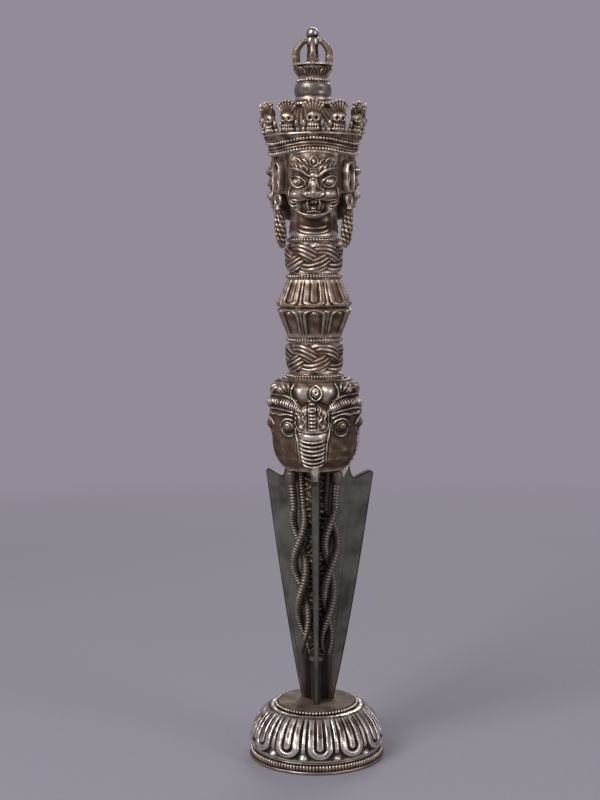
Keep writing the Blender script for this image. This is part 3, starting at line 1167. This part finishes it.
# One leaf: fluted flame fan over a skull with its jaw and teeth; lumps are fused by a fine remesh
def leafMesh():
    w = crown["leafW"]/2
    bm = bmesh.new()
    slab = bmesh.ops.create_cube(bm, size=1, matrix=Matrix.Translation((0, -0.55, 3.4))
                                 @ Matrix.Diagonal((2*w - 1.9, 1.1, 7.2, 1)))
    for v in slab["verts"]:
        v.co.x *= 1.22 if v.co.z < 3 else 0.86
    fan = bmesh.ops.create_cube(bm, size=1, matrix=Matrix.Translation((0, -0.45, 9.4))
                                @ Matrix.Diagonal((2*w - 2.4, 0.8, 5.4, 1)))
    for v in fan["verts"]:
        v.co.x *= 0.7 if v.co.z < 9 else 1.2
    for k in range(-3, 4):      # flutes spread from the skull's crown
        lean = 13.5*k
        root = Vector((0.42*k, -0.95, 7.6))
        long = 2.85 - 0.08*k*k
        mid = root + Matrix.Rotation(math.radians(lean), 3, "Y") @ Vector((0, 0, long))
        lump(bm, mid, (0.56, 0.72, long), lean)
        tip = root + Matrix.Rotation(math.radians(lean), 3, "Y") @ Vector((0, -0.05, 2*long - 0.5))
        lump(bm, tip, (0.6, 0.66, 0.6), lean)
    lump(bm, (0, -1.25, 6.1), (3.0, 1.75, 2.35))                        # skull
    for side in (-1, 1):
        lump(bm, (side*1.9, -1.7, 5.2), (0.85, 0.8, 0.6))               # cheekbones
        lump(bm, (side*1.2, -2.3, 7.1), (0.95, 0.5, 0.4), side*14)      # brows
        lump(bm, (side*3.5, -0.9, 3.6), (0.75, 0.7, 1.5), side*8)       # curls beside the jaw
        lump(bm, (side*3.75, -0.8, 1.3), (0.85, 0.75, 1.0))
    lump(bm, (0, -1.2, 3.6), (2.3, 1.1, 0.75))                          # upper jaw
    lump(bm, (0, -1.35, 1.6), (2.9, 1.35, 0.95))                        # lower jaw
    lump(bm, (0, -1.0, 0.3), (3.3, 1.1, 0.55))
    for k in range(-2, 3):                                          # two rows of teeth
        lump(bm, (0.98*k, -2.25 + 0.1*k*k, 3.05), (0.34, 0.5, 0.55))
        lump(bm, (1.02*k, -2.55 + 0.12*k*k, 1.85), (0.34, 0.5, 0.55))
    fused = fuse("leaf", bm)
    # sockets of the eyes and nose are pressed in
    co = readPoints(fused)
    outer = co[:, 1] < -1.0
    for x, z, size, deep in ((-1.25, 5.95, 1.0, 1.3), (1.25, 5.95, 1.0, 1.3), (0, 4.75, 0.6, 0.8)):
        co[:, 1] += outer*deep*swell(np.hypot(co[:, 0] - x, co[:, 2] - z), size)
    co[:, 1] = np.minimum(co[:, 1], 0.0)
    co[:, 2] = np.maximum(co[:, 2], 0.05)
    writePoints(fused, co)
    return fused


def makeLeaves():
    c = crown
    fused = leafMesh()

    # the skulls stand proud and are rubbed bright
    def rub(co):
        out = np.hypot(co[:, 0], co[:, 1]) - c["seatR"] - (co[:, 2] - bandTop)*math.tan(math.radians(c["lean"]))
        return 0.22*ease(out, 1.7, 2.8) - 0.1*(1 - ease(out, 0.6, 1.3))

    for i in range(c["leaves"]):
        bm = bmesh.new()
        bm.from_mesh(fused)
        place = (Matrix.Rotation(math.radians(360*i/c["leaves"]), 4, "Z")
                 @ Matrix.Translation((0, -c["seatR"] - 0.1, bandTop - 0.1))
                 @ Matrix.Rotation(math.radians(c["lean"]), 4, "X"))
        bmesh.ops.transform(bm, matrix=place, verts=bm.verts)
        node = "crown_leaf_%02d" % (i + 1)
        finish(node, bm, "handle", wobble=0.04, rub=rub)


# Finial: drawn-up hair, collar, beaded ring, lotus cup, four prongs round a spire
finial = {
    "hairRows": 60, "hairLocks": 30, "hairTwist": 26, "collarR": 7.5, "ringR": 6.8, "ringH": 2.0,
    "cupR": 8.2, "cupFootR": 5.9, "cupPetals": 8, "cupRows": 54, "cupInnerRows": 8, "cupBeads": 38,
    "spireR": 2.3, "knobR": 2.55,
}


def makeTopknot():
    f = finial
    low, high = lowOf("topknot"), topOf("topknot")
    shares = [0, 0.03, 0.2, 0.45, 0.66, 0.72, 0.78, 0.84, 0.88, 0.94, 1]
    radii = [11.4, 12.0, 11.6, 9.6, 7.8, 7.5, 8.2, 8.1, 7.3, 7.35, 7.0]

    def place(a, v):
        t = v/(f["hairRows"] - 1)
        lock = np.abs(np.sin(np.radians((a + f["hairTwist"]*t)*f["hairLocks"]/2))) - 0.6
        r = np.interp(t, shares, radii) + 0.45*lock*(1 - ease(t, 0.62, 0.7))
        r = r + 0.25*lock*ease(t, 0.76, 0.8)*(1 - ease(t, 0.84, 0.88))
        return r, low + t*(high - low), a

    finish("topknot", turned(360, f["hairRows"], place), "handle")


def makeCollar():
    low, high = lowOf("finial_collar"), topOf("finial_collar")
    foot = 0.86*finial["collarR"]
    bulge = finial["collarR"] - foot
    outline = [(0, low)] + [(foot + bulge*math.cos(b)**0.8 if math.cos(b) > 1e-6 else foot,
                             mix(low, high, (1 + math.sin(b))/2)) for b in np.radians(range(-90, 91, 9))]
    bm = lathe(outline + [(0, high)], 144)
    finish("finialCollar", bm, "bright", ["finial_collar"], wobble=0.03, rub=-0.15)


def makeCup():
    f = finial
    low, high = lowOf("finial_cup"), topOf("finial_cup")
    outerRows = f["cupRows"] - f["cupInnerRows"]

    def place(a, v):
        t = np.minimum(v/outerRows, 1)
        side = sideOf(a, f["cupPetals"])
        base = mix(f["cupFootR"], f["cupR"], ease(t, -0.25, 0.85))
        # petals open at the foot and close in an arch under the rim
        far = np.hypot(side/0.96, np.maximum(0, t - 0.2)/0.62)
        petal = 0.75*swell(far - 0.86, 0.15) + 0.35*(1 - ease(far, 0.45, 0.7))
        petal = petal + 0.55*swell(np.hypot(side/0.42, (t - 0.6)/0.16), 1)
        r = base - 0.8 + petal*(1 - ease(t, 0.8, 0.86)) + 0.75*ease(t, 0.86, 0.9)
        r = r - 0.4*swell(t - 0.84, 0.05)
        inner = v - outerRows
        r = np.where(inner > 0, f["cupR"] - 0.25 - 0.9*inner, r)
        return np.maximum(r, 0.3), low + t*(high - low), a

    bm = turned(288, f["cupRows"], place)
    beadRow(bm, f["cupBeads"], f["cupR"] - 0.5, high - 0.1, 0.55)
    finish("finialCup", bm, "handle", ["finial_cup"])


def makeProng(name, angle):
    f = finial
    base = topOf("finial_cup") + gap
    tall = topOf(name) - base
    tipIn = f["spireR"] + gap
    # a bow of round bar, thick in the middle and drawn in to the spire at its tip
    spine = route([(f["cupR"] - 2.1, 0), (f["cupR"] - 1.6, 0.12*tall), (f["cupR"] - 1.5, 0.4*tall),
                   (f["cupR"] - 2.2, 0.62*tall), (f["cupR"] - 3.5, 0.79*tall), (tipIn + 1.0, 0.9*tall)], 7)
    bm = bmesh.new()
    size = len(spine)
    for k, (r, z) in enumerate(spine):
        t = k/(size - 1)
        thick = mix(1.55, 1.2, ease(t, 0.3, 1)) + 0.2*swell(t - 0.3, 0.08)
        spot = Matrix.Translation((0, -r, base + z + 0.05)) @ Matrix.Diagonal((0.85*thick, thick, thick, 1))
        bmesh.ops.create_icosphere(bm, subdivisions=3, radius=1.0, matrix=spot)
    for side in (-1, 1):    # the spur on the back of the prong
        spot = (Matrix.Translation((side*0.35, -f["cupR"] + 0.25, base + 0.3*tall))
                @ Matrix.Rotation(math.radians(-35), 4, "X") @ Matrix.Diagonal((0.5, 0.45, 1.2, 1)))
        bmesh.ops.create_icosphere(bm, subdivisions=2, radius=1.0, matrix=spot)
    fused = fuse("bow", bm)
    co = readPoints(fused)
    co[:, 2] = np.clip(co[:, 2], base, base + tall)
    co[:, 1] = np.maximum(co[:, 1], -f["cupR"] + 0.05)
    writePoints(fused, co)
    bm = bmesh.new()
    bm.from_mesh(fused)
    bmesh.ops.smooth_vert(bm, verts=bm.verts, factor=0.5, use_axis_x=True, use_axis_y=True, use_axis_z=True)
    turnBy(bm, angle)
    finish(name, bm, "handle", wobble=0.02)


def makeSpire():
    f = finial
    low, high = lowOf("spire"), topOf("spire")
    s = f["spireR"] + 0.2
    knob = f["knobR"]
    steps = [(0, 0), (0, 1.0), (-0.2, 1.2), (-0.2, 1.5), (0.05, 1.7), (0.05, 2.5), (-0.25, 2.7), (-0.25, 3.1),
             (0, 3.3), (0, 3.9), (-0.25, 4.1), (-0.3, 6.8), (-0.2, 7.6), (0.1, 8.2), (0.1, 10.2), (-0.1, 10.7)]
    outline = [(0, low)] + [(s + out, low + up) for out, up in steps]
    middle = high - knob
    outline += [(knob*math.cos(b), middle + knob*math.sin(b)) for b in np.radians(range(-40, 81, 10))]
    bm = lathe(outline + [(0, high)], 72)
    finish("spire", bm, "bright", wobble=0.03, rub=-0.14)


makeHead()
for side, angle in zip(channels, (60, 180, 300)):
    makeEarring("earring_" + side, angle)
print("head ready")
makeCrownBand()
makeLeaves()
print("crown ready")
makeTopknot()
makeCollar()
makeRing("finial_ring", finial["ringR"], finial["ringH"], "handle")
makeCup()
for name, angle in zip(("front", "right", "back", "left"), (0, 90, 180, 270)):
    makeProng("prong_" + name, angle)
makeSpire()
print("finial ready")


# Camera at the photograph's angle, level floor, three soft boxes and an even room
view = {
    "place": (0, -0.5958, 0.2113), "down": 5.9, "yaw": 0.584, "roll": -0.398, "lens": 65.34, "sensor": 36,
    "wall": "#938b97", "room": "#f4f2f4", "floor": "#827f89", "far": "#827c87",
    "floorHalf": 2.2, "fadeFrom": 0.45, "fadeTo": 0.75, "fibreMm": 2.5, "aim": (0, 0, 0.15),
    # place, size and power of each soft box
    "boxes": {"keyBox": ((-0.6, -0.64, 0.75), (0.5, 0.6), 10),
              "fillBox": ((0.75, -0.55, 0.45), (0.3, 0.6), 2.6),
              "backBox": ((0.2, 0.9, 0.8), (0.6, 0.4), 4)},
}


def makeCamera():
    lens = bpy.data.cameras.new("camera")
    lens.sensor_fit = "VERTICAL"
    lens.sensor_height = view["sensor"]
    lens.lens = view["lens"]
    lens.clip_start = 0.01
    camera = putInScene("camera", lens)
    camera.matrix_world = (Matrix.Translation(view["place"])
                           @ Matrix.Rotation(math.radians(view["yaw"]), 4, "Z")
                           @ Matrix.Rotation(math.radians(90 - view["down"]), 4, "X")
                           @ Matrix.Rotation(math.radians(view["roll"]), 4, "Z"))
    bpy.context.scene.camera = camera


def makeFloor():
    bm = bmesh.new()
    bmesh.ops.create_circle(bm, cap_ends=True, segments=96, radius=view["floorHalf"])
    mesh = meshOf("floor", bm)
    material, tree = startMaterial("mattFloorPaper")
    spot = add(tree, "TexCoord", out="Object")
    reach = add(tree, "VectorMath", (spot,), out="Value", operation="LENGTH")
    fade = add(tree, "MapRange", (reach, view["fadeFrom"], view["fadeTo"]))
    fibre = add(tree, "MapRange", (grain(tree, view["fibreMm"]), 0.3, 0.7, 0.97, 1.03))
    colour = add(tree, "Mix", {0: fade, 6: linear(view["floor"]), 7: linear(view["far"])}, out=2,
                 data_type="RGBA")
    tone = add(tree, "CombineColor", (fibre, fibre, fibre))
    colour = add(tree, "Mix", {0: 1.0, 6: colour, 7: tone}, out=2, data_type="RGBA", blend_type="MULTIPLY")
    matt = add(tree, "BsdfPrincipled", {"Base Color": colour, "Roughness": 0.85})
    flat = add(tree, "Emission", {"Color": linear(view["wall"])})
    far = add(tree, "MixShader", (fade, matt, flat))
    add(tree, "OutputMaterial", {"Surface": far})
    mesh.materials.append(material)
    floor = putInScene("floor", mesh)


def softBox(name, place, size, power):
    lamp = bpy.data.lights.new(name, "AREA")
    lamp.shape = "RECTANGLE"
    lamp.size, lamp.size_y = size
    lamp.energy = power
    turn = (Vector(view["aim"]) - Vector(place)).to_track_quat("-Z", "Y")
    putInScene(name, lamp).matrix_world = Matrix.Translation(place) @ turn.to_matrix().to_4x4()


def makeLight():
    for name, (place, size, power) in view["boxes"].items():
        softBox(name, place, size, power)
    world = bpy.data.worlds.new("room")
    bpy.context.scene.world = world
    world.use_nodes = True
    tree = world.node_tree
    tree.nodes.clear()
    seen = add(tree, "LightPath").node.outputs
    either = add(tree, "Math", (seen["Is Camera Ray"], seen["Is Glossy Ray"]), operation="MAXIMUM")
    wall = add(tree, "Background", {"Color": linear(view["wall"]), "Strength": 1.0})
    room = add(tree, "Background", {"Color": linear(view["room"]), "Strength": 0.5})
    both = add(tree, "MixShader", (either, room, wall))
    add(tree, "OutputWorld", {"Surface": both})
    bpy.context.scene.view_settings.view_transform = "Standard"


makeCamera()
makeFloor()
makeLight()
print("camera, floor and light ready")
